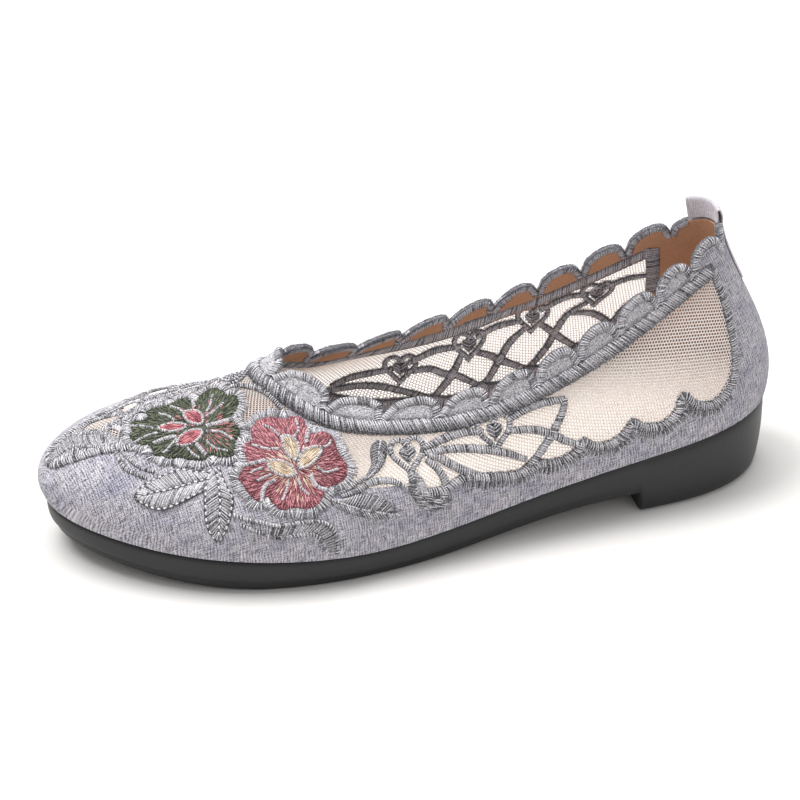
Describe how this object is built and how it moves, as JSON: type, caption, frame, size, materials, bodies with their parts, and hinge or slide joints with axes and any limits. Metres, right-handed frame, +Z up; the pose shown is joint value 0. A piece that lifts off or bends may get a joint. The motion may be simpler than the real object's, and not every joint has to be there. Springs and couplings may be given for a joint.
{
  "type": "cloth shoe",
  "caption": "Low slip-on cloth flat for a left foot: linen upper with scalloped collar, embroidered mesh window, flowers on the vamp, heel pull loop and moulded rubber sole.",
  "frame": {"origin": "middle of the shoe's plan, on the floor it stands on", "axes": "+X to the toe, +Y to the wearer's left (the outer side of this shoe), +Z up"},
  "size_m": [0.2452, 0.0866, 0.0956],
  "materials": {
    "rubber": "matte moulded",
    "insole_cloth": "soft cloth",
    "linen": "slubbed plain weave",
    "mesh": "fine net",
    "grey_thread": "satin stitch",
    "red_thread": "satin stitch",
    "green_thread": "satin stitch",
    "tape": "smooth tape"
  },
  "bodies": {
    "root": {"outsole": "rubber", "insole": "insole_cloth", "upper": "linen", "mesh_panel": "mesh", "collar_trim": "grey_thread", "openwork_outer": "grey_thread", "openwork_inner": "grey_thread", "flower_red": "red_thread", "flower_green": "green_thread", "leaf_front": "grey_thread", "leaf_low": "grey_thread", "leaf_side": "grey_thread", "bud": "grey_thread", "scroll": "grey_thread", "pull_loop": "tape"}
  },
  "joints": []
}
